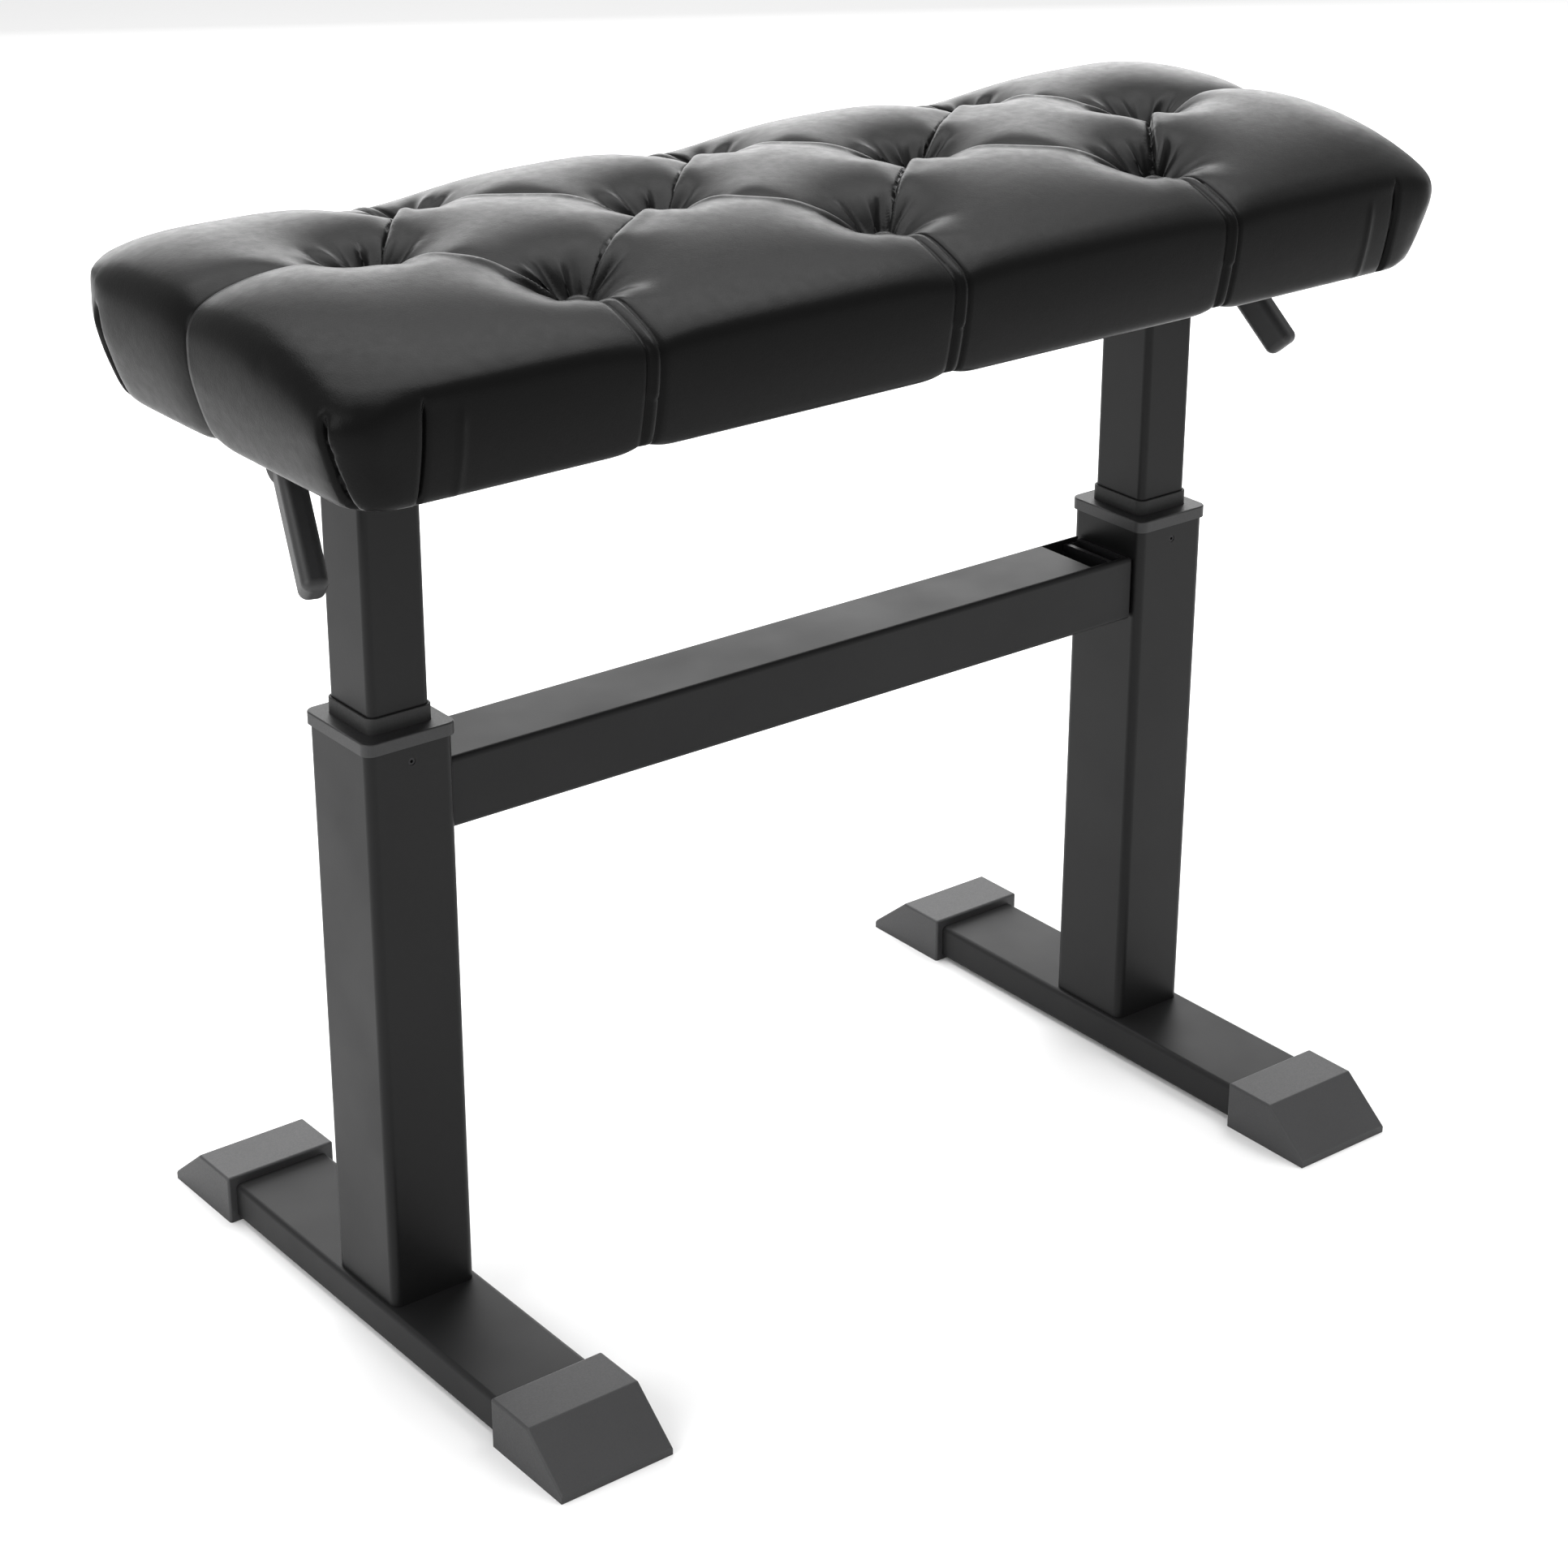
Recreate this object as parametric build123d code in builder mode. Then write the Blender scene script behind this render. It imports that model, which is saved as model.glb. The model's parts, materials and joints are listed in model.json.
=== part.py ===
"""Piano bench with a tufted seat on two gas-sprung telescopic columns.

The bench stands at its raised height. X runs along the seat, Y from front to back and Z up,
with the origin on the floor under the middle of the seat. Lengths are in millimetres.
"""
from build123d import *
from math import cos, radians, sin
import os

os.makedirs("parts", exist_ok=True)

# Overall sizes
seat_length = 740
seat_depth = 292
column_inset = 102
seat_height = 522

# Feet
foot_length = 402
foot_bar_width = 60
foot_bar_height = 22
foot_bar_wall = 2
foot_bar_corner = 3
foot_cap_length = 64
foot_cap_side = 5
foot_cap_top = 5.5
foot_cap_sole = 2
foot_cap_slope = 30
foot_cap_toe = 5
foot_cap_corner = 3

# Columns
outer_width = 52
outer_depth = 59
outer_wall = 2
outer_corner = 5
outer_top = 352
inner_width = 36
inner_depth = 41
inner_wall = 2
inner_corner = 4
inner_overlap = 150
slide_clearance = 0.3
weld_clearance = 0.1

# Collars, wipers and lower slide bushes
collar_flange = 1.6
collar_flange_height = 7
collar_skirt = 40
wiper_wall = 1.2
wiper_seat = 5
wiper_stand = 9
collar_corner = 6
bush_length = 30
collar_screw_drop = 9
collar_screw_diameter = 4
collar_screw_length = 3.4
collar_screw_socket = 2
collar_screw_socket_depth = 1.5
collar_screw_sink = 0.3

# Crossbar and its two brackets
crossbar_depth = 50
crossbar_height = 40
crossbar_drop = 16
crossbar_wall = 2
crossbar_corner = 3
crossbar_gap = 2.5
bracket_plate = 3
bracket_reach = 40
bracket_wall = 3
bracket_lip = 5
tongue_gap = 11
bracket_clearance = 0.4
hook_notch = 30
crossbar_bolt = 6
crossbar_bolt_head = 11
crossbar_bolt_head_height = 3.5
crossbar_bolt_spare = 4
head_round = 1.2
head_socket_depth = 2

# Gas springs
cylinder_gap = 1.6
cylinder_wall = 1.5
cylinder_length = 300
cylinder_floor = 3
cylinder_stud = 8
stud_spare = 1
nut_width = 13
nut_height = 6.5
base_plate_thickness = 6
guide_height = 12
rod_diameter = 10
rod_neck = 8
piston_height = 10
rod_mount_height = 14
rod_mount_drop = 44
pin_diameter = 4
pin_length = 33
pin_head = 8
pin_head_height = 3
pin_head_round = 0.6
pin_stop_gap = 1
pin_hole_spare = 2
pin_travel = 2.5
running_clearance = 0.1

# Release levers
shaft_diameter = 8
shaft_drop = 14
shaft_set_forward = 7
shaft_reach = 55
shaft_tail = 1
cam_thickness = 8
cam_hub_radius = 6.5
cam_lift_gap = 0.3
lever_bush_diameter = 11
lever_bush_flange = 14
lever_bush_flange_thickness = 1
clip_diameter = 13
clip_thickness = 1
handle_hub = 20
handle_width = 14
handle_breadth = 19
handle_corner = 5
handle_length = 70
handle_fall = 41
handle_splay = 11
handle_round = 2
handle_cheek = 2

# Seat board, top plates and their fasteners
board_thickness = 12
board_edge_gap = 12
board_corner = 34
top_plate_length = 104
top_plate_width = 96
top_plate_thickness = 4
top_plate_corner = 6
screw_inset = 13
screw_diameter = 6
screw_head = 12
screw_head_height = 3
screw_length = 14
insert_diameter = 9
insert_length = 11

# Cushion
cushion_height = 85
cushion_lower_height = 44
cushion_taper = 18
cushion_corner = 44
cushion_top_round = 26
cover_thickness = 1.5
cover_flap = 18
dust_cover_thickness = 0.8
dust_cover_overlap = 12
dust_cover_clearance = 1
tuft_pitch = 192
tuft_middle_pitch = 173
tuft_row = 78
tuft_depth = 25
tuft_round = 40
tie_diameter = 2
tie_clearance = 0.4
button_diameter = 14
button_height = 4
washer_diameter = 16
washer_thickness = 1.4
washer_recess = 2

# Places worked out from the sizes above
column_x = seat_length / 2 - column_inset
foot_bar_bottom = foot_cap_sole
foot_bar_top = foot_bar_bottom + foot_bar_height
outer_bore_width = outer_width - 2 * outer_wall
outer_bore_depth = outer_depth - 2 * outer_wall
inner_bore_width = inner_width - 2 * inner_wall
inner_bore_depth = inner_depth - 2 * inner_wall
bore_corner = outer_corner - outer_wall
inner_bore_corner = inner_corner - inner_wall
inner_bottom = outer_top - inner_overlap
plate_bottom = seat_height - top_plate_thickness
crossbar_top = outer_top - crossbar_drop
crossbar_bottom = crossbar_top - crossbar_height
crossbar_end = column_x - outer_width / 2
cylinder_diameter = inner_bore_width - 2 * cylinder_gap
cylinder_bore = cylinder_diameter - 2 * cylinder_wall
cylinder_bottom = foot_bar_top + base_plate_thickness
cylinder_top = cylinder_bottom + cylinder_length
piston_top = cylinder_top - guide_height - running_clearance
rod_mount_bottom = seat_height - rod_mount_drop
rod_mount_top = rod_mount_bottom + rod_mount_height
shaft_height = seat_height - shaft_drop
cam_radius = shaft_height - (rod_mount_top + pin_travel + pin_head_height + pin_stop_gap) - cam_lift_gap
pin_head_bottom = shaft_height - cam_radius - cam_lift_gap - pin_head_height
cushion_flare = cushion_lower_height * sin(radians(cushion_taper)) / cos(radians(cushion_taper))
cushion_base_length = seat_length - 2 * cushion_flare
cushion_base_depth = seat_depth - 2 * cushion_flare
board_length = cushion_base_length - 2 * (cover_thickness + board_edge_gap)
board_depth = cushion_base_depth - 2 * (cover_thickness + board_edge_gap)
board_top = seat_height + board_thickness
washer_bottom = seat_height + washer_recess - washer_thickness
cover_bottom = seat_height - cover_thickness
cushion_top = seat_height + cushion_height
pit_bottom = cushion_top - tuft_depth
button_seat = tuft_round - (tuft_round ** 2 - (button_diameter / 2) ** 2) ** 0.5
button_bottom = pit_bottom + button_seat + weld_clearance / 2
sides = ((-1, "left"), (1, "right"))
ends = ((-1, "front"), (1, "rear"))
front_back_tufts = [(column * tuft_pitch, row * tuft_row) for row in (-1, 1) for column in (-1, 0, 1)]
middle_tufts = [((column - 1.5) * tuft_middle_pitch, 0) for column in range(4)]
tufts = front_back_tufts + middle_tufts
plate_screws_x = top_plate_length / 2 - screw_inset
plate_screws_y = top_plate_width / 2 - screw_inset
plate_screws = [
    (side * column_x + x * plate_screws_x, y * plate_screws_y)
    for side, _ in sides for x in (-1, 1) for y in (-1, 1)
]


def write(piece, name):
    """Label a finished piece and write it to its own STEP file."""
    piece.part.label = name
    export_step(piece.part, f"parts/{name}.step")


def box_tube(centre_x, width, depth, corner, wall, bottom, top):
    """Add a rectangular tube with rounded corners that stands between two heights."""
    with BuildSketch(Plane.XY.offset(bottom)) as outline:
        with Locations((centre_x, 0)):
            RectangleRounded(width, depth, corner)
            RectangleRounded(width - 2 * wall, depth - 2 * wall, corner - wall, mode=Mode.SUBTRACT)
    extrude(outline.sketch, amount=top - bottom)


def box_block(centre_x, width, depth, corner, bottom, top, mode=Mode.ADD):
    """Add or cut a rectangular block with rounded corners between two heights."""
    with BuildSketch(Plane.XY.offset(bottom)) as outline:
        with Locations((centre_x, 0)):
            RectangleRounded(width, depth, corner)
    extrude(outline.sketch, amount=top - bottom, mode=mode)


def disc(centre, diameter, bottom, top, mode=Mode.ADD):
    """Add or cut an upright cylinder between two heights."""
    with BuildSketch(Plane.XY.offset(bottom)) as outline:
        with Locations(centre):
            Circle(diameter / 2)
    extrude(outline.sketch, amount=top - bottom, mode=mode)


def cushion_block(inset, bottom):
    """Add the outer shape of the cushion, moved inwards all round and cut off at a height."""
    with BuildSketch(Plane.XY.offset(cover_bottom)) as base:
        RectangleRounded(cushion_base_length - 2 * inset, cushion_base_depth - 2 * inset,
                         cushion_corner - inset)
    extrude(base.sketch, amount=cushion_lower_height, taper=-cushion_taper)
    upper = cushion_top - inset - cover_bottom - cushion_lower_height
    extrude(faces().sort_by(Axis.Z)[-1], amount=upper)
    fillet(faces().sort_by(Axis.Z)[-1].edges(), cushion_top_round - inset)
    with Locations(*[(x, y, pit_bottom + tuft_round) for x, y in tufts]):
        Sphere(tuft_round + inset, mode=Mode.SUBTRACT)
    if bottom > cover_bottom:
        with BuildSketch(Plane.XY.offset(cover_bottom)) as slab:
            Rectangle(seat_length, seat_depth)
        extrude(slab.sketch, amount=bottom - cover_bottom, mode=Mode.SUBTRACT)


# Feet: a flat steel bar across each end, and a moulded cap over each end of it
for side, side_name in sides:
    with BuildPart() as foot_bar:
        with BuildSketch(Plane.XZ.offset(-(foot_length / 2 - foot_cap_slope))):
            with Locations((side * column_x, foot_bar_bottom + foot_bar_height / 2)):
                RectangleRounded(foot_bar_width, foot_bar_height, foot_bar_corner)
                RectangleRounded(foot_bar_width - 2 * foot_bar_wall, foot_bar_height - 2 * foot_bar_wall,
                                 foot_bar_corner - foot_bar_wall, mode=Mode.SUBTRACT)
        extrude(amount=foot_length - 2 * foot_cap_slope)
        disc((side * column_x, 0), cylinder_stud + 2 * running_clearance,
             foot_bar_top - foot_bar_wall, foot_bar_top, mode=Mode.SUBTRACT)
    write(foot_bar, f"foot_bar_{side_name}")

    for end, end_name in ends:
        cap_width = foot_bar_width + 2 * foot_cap_side
        cap_top = foot_bar_top + foot_cap_top
        tip = end * foot_length / 2
        back = tip - end * foot_cap_length
        with BuildPart() as foot_cap:
            with BuildSketch(Plane.YZ.offset(side * column_x - cap_width / 2)):
                with BuildLine():
                    Polyline((back, 0), (tip, 0), (tip, foot_cap_toe), (tip - end * foot_cap_slope, cap_top),
                             (back, cap_top), close=True)
                make_face()
            extrude(amount=cap_width)
            fillet(foot_cap.edges().filter_by(Axis.X).group_by(Axis.Z)[-1], foot_cap_corner / 2)
            fillet(foot_cap.edges().filter_by(GeomType.LINE).filter_by(Axis.Y).group_by(Axis.Z)[-1],
                   foot_cap_corner / 2)
            with BuildSketch(Plane.XZ.offset(-(back + end * (foot_cap_length - foot_cap_slope)))):
                with Locations((side * column_x, foot_bar_bottom + foot_bar_height / 2)):
                    RectangleRounded(foot_bar_width, foot_bar_height, foot_bar_corner)
            extrude(amount=end * (foot_cap_length - foot_cap_slope), mode=Mode.SUBTRACT)
        write(foot_cap, f"foot_cap_{end_name}_{side_name}")

# Outer columns, welded to the foot bars, with the base plate that carries the gas spring
for side, side_name in sides:
    centre = side * column_x
    with BuildPart() as outer_column:
        box_tube(centre, outer_width, outer_depth, outer_corner, outer_wall, foot_bar_top, outer_top)
        with BuildSketch(Plane.XZ.offset(outer_depth / 2)):
            with Locations((centre, outer_top - collar_screw_drop)):
                Circle(collar_screw_diameter / 2 + weld_clearance)
        extrude(amount=-outer_wall, mode=Mode.SUBTRACT)
    write(outer_column, f"outer_column_{side_name}")

    with BuildPart() as base_plate:
        box_block(centre, outer_bore_width - 2 * weld_clearance, outer_bore_depth - 2 * weld_clearance,
                  bore_corner, foot_bar_top, foot_bar_top + base_plate_thickness)
        disc((centre, 0), cylinder_stud + 2 * running_clearance, foot_bar_top,
             foot_bar_top + base_plate_thickness, mode=Mode.SUBTRACT)
    write(base_plate, f"base_plate_{side_name}")

# Collars: a flanged guide in the top of each outer column, and the wiper that stands in it
flange_top = outer_top + collar_flange_height
wiper_bottom = flange_top - wiper_seat
slide_width = inner_width + 2 * slide_clearance
slide_depth = inner_depth + 2 * slide_clearance
slide_corner = inner_corner + slide_clearance
for side, side_name in sides:
    centre = side * column_x
    with BuildPart() as collar:
        box_block(centre, outer_bore_width - 2 * weld_clearance, outer_bore_depth - 2 * weld_clearance,
                  bore_corner, outer_top - collar_skirt, outer_top)
        box_block(centre, outer_width + 2 * collar_flange, outer_depth + 2 * collar_flange, collar_corner,
                  outer_top, flange_top)
        fillet(collar.faces().sort_by(Axis.Z)[-1].edges(), collar_flange / 2)
        box_block(centre, slide_width + 2 * (wiper_wall + weld_clearance),
                  slide_depth + 2 * (wiper_wall + weld_clearance), slide_corner + wiper_wall,
                  wiper_bottom, flange_top, mode=Mode.SUBTRACT)
        box_block(centre, slide_width, slide_depth, slide_corner, outer_top - collar_skirt, flange_top,
                  mode=Mode.SUBTRACT)
        with BuildSketch(Plane.XZ.offset(outer_bore_depth / 2)):
            with Locations((centre, outer_top - collar_screw_drop)):
                Circle(collar_screw_diameter / 2 + weld_clearance)
        extrude(amount=-(collar_screw_length - outer_wall + weld_clearance), mode=Mode.SUBTRACT)
    write(collar, f"collar_{side_name}")

    with BuildPart() as column_wiper:
        box_block(centre, slide_width + 2 * wiper_wall, slide_depth + 2 * wiper_wall,
                  slide_corner + wiper_wall, wiper_bottom, flange_top + wiper_stand)
        fillet(column_wiper.faces().sort_by(Axis.Z)[-1].edges(), wiper_wall / 2)
        box_block(centre, slide_width, slide_depth, slide_corner, wiper_bottom,
                  flange_top + wiper_stand, mode=Mode.SUBTRACT)
    write(column_wiper, f"column_wiper_{side_name}")

with BuildPart() as collar_screws:
    for side, _ in sides:
        with BuildSketch(Plane.XZ.offset(outer_depth / 2 - collar_screw_sink)):
            with Locations((side * column_x, outer_top - collar_screw_drop)):
                Circle(collar_screw_diameter / 2)
        extrude(amount=-(collar_screw_length - collar_screw_sink))
        with BuildSketch(Plane.XZ.offset(outer_depth / 2 - collar_screw_sink)):
            with Locations((side * column_x, outer_top - collar_screw_drop)):
                RegularPolygon(collar_screw_socket / 2, 6)
        extrude(amount=-collar_screw_socket_depth, mode=Mode.SUBTRACT)
write(collar_screws, "collar_screws")

# Crossbar: a rectangular tube that hooks over a bracket at its right end and bolts to both
bar_right = crossbar_end - crossbar_gap
with BuildPart() as crossbar:
    with BuildSketch(Plane.YZ.offset(-crossbar_end)):
        with Locations((0, crossbar_bottom + crossbar_height / 2)):
            RectangleRounded(crossbar_depth, crossbar_height, crossbar_corner)
            RectangleRounded(crossbar_depth - 2 * crossbar_wall, crossbar_height - 2 * crossbar_wall,
                             crossbar_corner - crossbar_wall, mode=Mode.SUBTRACT)
    extrude(amount=2 * crossbar_end - crossbar_gap)
    with BuildSketch(Plane.XY.offset(crossbar_top - crossbar_wall)):
        with Locations((bar_right - hook_notch / 2, 0)):
            Rectangle(hook_notch, crossbar_depth - 2 * crossbar_corner)
    extrude(amount=crossbar_wall, mode=Mode.SUBTRACT)
    for side, _ in sides:
        disc((side * (crossbar_end - bracket_reach / 2 - bracket_plate), 0),
             crossbar_bolt + 2 * running_clearance, crossbar_bottom,
             crossbar_bottom + crossbar_wall, mode=Mode.SUBTRACT)
write(crossbar, "crossbar")

for side, side_name in sides:
    bracket_depth = crossbar_depth - 2 * crossbar_wall - 2 * bracket_clearance
    bracket_height = crossbar_height - 2 * crossbar_wall - 2 * bracket_clearance
    shelf_bottom = crossbar_bottom + crossbar_wall + bracket_clearance
    face = side * crossbar_end
    with BuildPart() as bracket:
        with BuildSketch(Plane.YZ.offset(face)):
            with Locations((0, shelf_bottom + bracket_height / 2)):
                Rectangle(bracket_depth, bracket_height)
        extrude(amount=-side * bracket_plate)
        with BuildSketch(Plane.XY.offset(shelf_bottom)):
            with Locations((face - side * (bracket_plate + bracket_reach) / 2, 0)):
                Rectangle(bracket_reach + bracket_plate, bracket_depth)
        extrude(amount=bracket_wall)
        with BuildSketch(Plane.XZ.offset(-bracket_depth / 2)):
            with BuildLine():
                Polyline((face, shelf_bottom + bracket_height),
                         (face - side * (bracket_plate + bracket_lip), shelf_bottom + bracket_height),
                         (face - side * (bracket_plate + bracket_reach), shelf_bottom + 2 * bracket_wall),
                         (face - side * (bracket_plate + bracket_reach), shelf_bottom),
                         (face, shelf_bottom), close=True)
            make_face()
        extrude(amount=bracket_wall)
        with BuildSketch(Plane.YZ.offset(face - side * tongue_gap)):
            with Locations((0, shelf_bottom + bracket_height / 2)):
                Rectangle(bracket_depth, bracket_height)
        extrude(amount=-side * bracket_plate)
        disc((side * (crossbar_end - bracket_reach / 2 - bracket_plate), 0), crossbar_bolt,
             shelf_bottom, shelf_bottom + bracket_wall, mode=Mode.SUBTRACT)
    write(bracket, f"crossbar_bracket_{side_name}")

with BuildPart() as crossbar_bolts:
    for side, _ in sides:
        bolt_x = side * (crossbar_end - bracket_reach / 2 - bracket_plate)
        disc((bolt_x, 0), crossbar_bolt_head, crossbar_bottom - crossbar_bolt_head_height, crossbar_bottom)
        disc((bolt_x, 0), crossbar_bolt - weld_clearance, crossbar_bottom,
             crossbar_bottom + crossbar_wall + bracket_wall + crossbar_bolt_spare)
    fillet(crossbar_bolts.faces().group_by(Axis.Z)[0].edges(), head_round)
    for side, _ in sides:
        bolt_x = side * (crossbar_end - bracket_reach / 2 - bracket_plate)
        with BuildSketch(Plane.XY.offset(crossbar_bottom - crossbar_bolt_head_height)):
            with Locations((bolt_x, 0)):
                RegularPolygon(crossbar_bolt / 3, 6)
        extrude(amount=head_socket_depth, mode=Mode.SUBTRACT)
write(crossbar_bolts, "crossbar_bolts")

# Gas springs: the cylinder stands on the base plate and the rod hangs from the inner column
for side, side_name in sides:
    centre = side * column_x
    with BuildPart() as gas_cylinder:
        disc((centre, 0), cylinder_diameter, cylinder_bottom, cylinder_top)
        disc((centre, 0), cylinder_bore, cylinder_bottom + cylinder_floor, cylinder_top,
             mode=Mode.SUBTRACT)
        disc((centre, 0), cylinder_stud, foot_bar_top - foot_bar_wall - nut_height - stud_spare,
             cylinder_bottom)
    write(gas_cylinder, f"gas_cylinder_{side_name}")

    with BuildPart() as rod_guide:
        disc((centre, 0), cylinder_bore - 2 * weld_clearance, cylinder_top - guide_height, cylinder_top)
        disc((centre, 0), rod_diameter + 2 * running_clearance, cylinder_top - guide_height,
             cylinder_top, mode=Mode.SUBTRACT)
    write(rod_guide, f"rod_guide_{side_name}")

    with BuildPart() as gas_rod:
        disc((centre, 0), rod_diameter, piston_top - piston_height, rod_mount_bottom)
        disc((centre, 0), cylinder_bore - 2 * running_clearance, piston_top - piston_height, piston_top)
        disc((centre, 0), rod_neck, rod_mount_bottom, rod_mount_top)
        disc((centre, 0), pin_diameter + 2 * running_clearance,
             pin_head_bottom - pin_length - pin_travel - pin_hole_spare, rod_mount_top, mode=Mode.SUBTRACT)
    write(gas_rod, f"gas_rod_{side_name}")

    with BuildPart() as rod_mount:
        box_block(centre, inner_bore_width - 2 * weld_clearance, inner_bore_depth - 2 * weld_clearance,
                  inner_bore_corner, rod_mount_bottom, rod_mount_top)
        disc((centre, 0), rod_neck + weld_clearance, rod_mount_bottom, rod_mount_top,
             mode=Mode.SUBTRACT)
    write(rod_mount, f"rod_mount_{side_name}")

    with BuildPart() as release_pin:
        disc((centre, 0), pin_diameter, pin_head_bottom - pin_length, pin_head_bottom)
        disc((centre, 0), pin_head, pin_head_bottom, pin_head_bottom + pin_head_height)
        fillet(release_pin.faces().sort_by(Axis.Z)[-1].edges(), pin_head_round)
    write(release_pin, f"release_pin_{side_name}")

with BuildPart() as cylinder_nuts:
    nut_top = foot_bar_top - foot_bar_wall
    with BuildSketch(Plane.XY.offset(nut_top - nut_height)):
        with Locations((-column_x, 0), (column_x, 0)):
            RegularPolygon(nut_width / 2, 6, major_radius=False)
            Circle(cylinder_stud / 2 + weld_clearance / 2, mode=Mode.SUBTRACT)
    extrude(amount=nut_height)
write(cylinder_nuts, "cylinder_nuts")

# Inner columns, with the holes for the lever shaft, and the bush that guides the lower end
shaft_y = -shaft_set_forward
for side, side_name in sides:
    centre = side * column_x
    with BuildPart() as inner_column:
        box_tube(centre, inner_width, inner_depth, inner_corner, inner_wall, inner_bottom, plate_bottom)
        with BuildSketch(Plane.YZ.offset(centre - inner_width / 2)):
            with Locations((shaft_y, shaft_height)):
                Circle(lever_bush_diameter / 2 + weld_clearance)
        extrude(amount=inner_width, mode=Mode.SUBTRACT)
    write(inner_column, f"inner_column_{side_name}")

    with BuildPart() as slide_bush:
        box_block(centre, outer_bore_width - 2 * slide_clearance, outer_bore_depth - 2 * slide_clearance,
                  bore_corner, inner_bottom, inner_bottom + bush_length)
        box_block(centre, inner_width + weld_clearance, inner_depth + weld_clearance, inner_corner,
                  inner_bottom, inner_bottom + bush_length, mode=Mode.SUBTRACT)
    write(slide_bush, f"slide_bush_{side_name}")

    with BuildPart() as top_plate:
        with BuildSketch(Plane.XY.offset(plate_bottom)):
            with Locations((centre, 0)):
                RectangleRounded(top_plate_length, top_plate_width, top_plate_corner)
            with Locations((centre, 0)):
                with GridLocations(2 * plate_screws_x, 2 * plate_screws_y, 2, 2):
                    Circle(screw_diameter / 2 + running_clearance, mode=Mode.SUBTRACT)
        extrude(amount=top_plate_thickness)
    write(top_plate, f"top_plate_{side_name}")

# Levers: a cross shaft through the inner column, its cam over the release pin, and the handle
for side, side_name in sides:
    centre = side * column_x
    outer_face = centre + side * inner_width / 2
    inner_face = centre - side * inner_width / 2
    flange = lever_bush_flange_thickness
    shaft_start = inner_face - side * (flange + clip_thickness + shaft_tail + running_clearance)
    shaft_end = centre + side * shaft_reach

    with BuildPart() as lever_bush:
        for face, outward in ((outer_face, side), (inner_face, -side)):
            with BuildSketch(Plane.YZ.offset(face)):
                with Locations((shaft_y, shaft_height)):
                    Circle(lever_bush_flange / 2)
            extrude(amount=outward * flange)
            with BuildSketch(Plane.YZ.offset(face)):
                with Locations((shaft_y, shaft_height)):
                    Circle(lever_bush_diameter / 2)
            extrude(amount=-outward * inner_wall)
        with BuildSketch(Plane.YZ.offset(centre - inner_width)):
            with Locations((shaft_y, shaft_height)):
                Circle(shaft_diameter / 2 + running_clearance)
        extrude(amount=2 * inner_width, mode=Mode.SUBTRACT)
    write(lever_bush, f"lever_bushes_{side_name}")

    with BuildPart() as lever_shaft:
        with BuildSketch(Plane.YZ.offset(shaft_start)):
            with Locations((shaft_y, shaft_height)):
                Circle(shaft_diameter / 2)
        extrude(amount=shaft_end - shaft_start)
    write(lever_shaft, f"lever_shaft_{side_name}")

    with BuildPart() as lever_clip:
        with BuildSketch(Plane.YZ.offset(inner_face - side * (flange + running_clearance))):
            with Locations((shaft_y, shaft_height)):
                Circle(clip_diameter / 2)
                Circle(shaft_diameter / 2 + weld_clearance / 2, mode=Mode.SUBTRACT)
        extrude(amount=-side * clip_thickness)
    write(lever_clip, f"lever_clip_{side_name}")

    with BuildPart() as lever_cam:
        with BuildSketch(Plane.YZ.offset(centre - cam_thickness / 2)):
            with Locations((0, shaft_height)):
                Circle(cam_radius)
            with Locations((shaft_y, shaft_height)):
                Circle(cam_hub_radius)
            make_hull()
            with Locations((shaft_y, shaft_height)):
                Circle(shaft_diameter / 2 + weld_clearance / 2, mode=Mode.SUBTRACT)
        extrude(amount=cam_thickness)
    write(lever_cam, f"lever_cam_{side_name}")

    along = Vector(side * sin(radians(handle_splay)),
                   -sin(radians(handle_fall)) * cos(radians(handle_splay)),
                   -cos(radians(handle_fall)) * cos(radians(handle_splay)))
    across = Vector(0, 0, 1).cross(along).cross(along).normalized()
    hub_start = shaft_end - side * (handle_width - handle_cheek)
    root = Vector(shaft_end - side * (handle_width / 2 - handle_cheek), shaft_y, shaft_height)
    with BuildPart() as lever_handle:
        with BuildSketch(Plane.YZ.offset(hub_start)):
            with Locations((shaft_y, shaft_height)):
                Circle(handle_hub / 2)
        extrude(amount=side * handle_width)
        fillet(lever_handle.edges(), handle_round)
        with BuildSketch(Plane(origin=root, x_dir=across, z_dir=along)):
            RectangleRounded(handle_breadth, handle_width, handle_corner)
        extrude(amount=handle_length)
        tip_face = lever_handle.faces().sort_by(Axis(root, along))[-1]
        fillet(tip_face.edges(), handle_corner)
        with BuildSketch(Plane.YZ.offset(shaft_end)):
            with Locations((shaft_y, shaft_height)):
                Circle(shaft_diameter / 2 + weld_clearance / 2)
        extrude(amount=-side * 2 * handle_width, mode=Mode.SUBTRACT)
    write(lever_handle, f"lever_handle_{side_name}")

# Seat: board, foam, cover, ties that pull the tufts down, and the cloth underneath
with BuildPart() as seat_board:
    with BuildSketch(Plane.XY.offset(seat_height)):
        RectangleRounded(board_length, board_depth, board_corner)
        with Locations(*tufts):
            Circle(tie_diameter / 2 + tie_clearance, mode=Mode.SUBTRACT)
    extrude(amount=board_thickness)
    with BuildSketch(Plane.XY.offset(seat_height)):
        with Locations(*plate_screws):
            Circle(insert_diameter / 2 + weld_clearance / 2)
    extrude(amount=insert_length, mode=Mode.SUBTRACT)
    with BuildSketch(Plane.XY.offset(seat_height)):
        with Locations(*tufts):
            Circle(washer_diameter / 2 + running_clearance)
    extrude(amount=washer_recess, mode=Mode.SUBTRACT)
write(seat_board, "seat_board")

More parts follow.
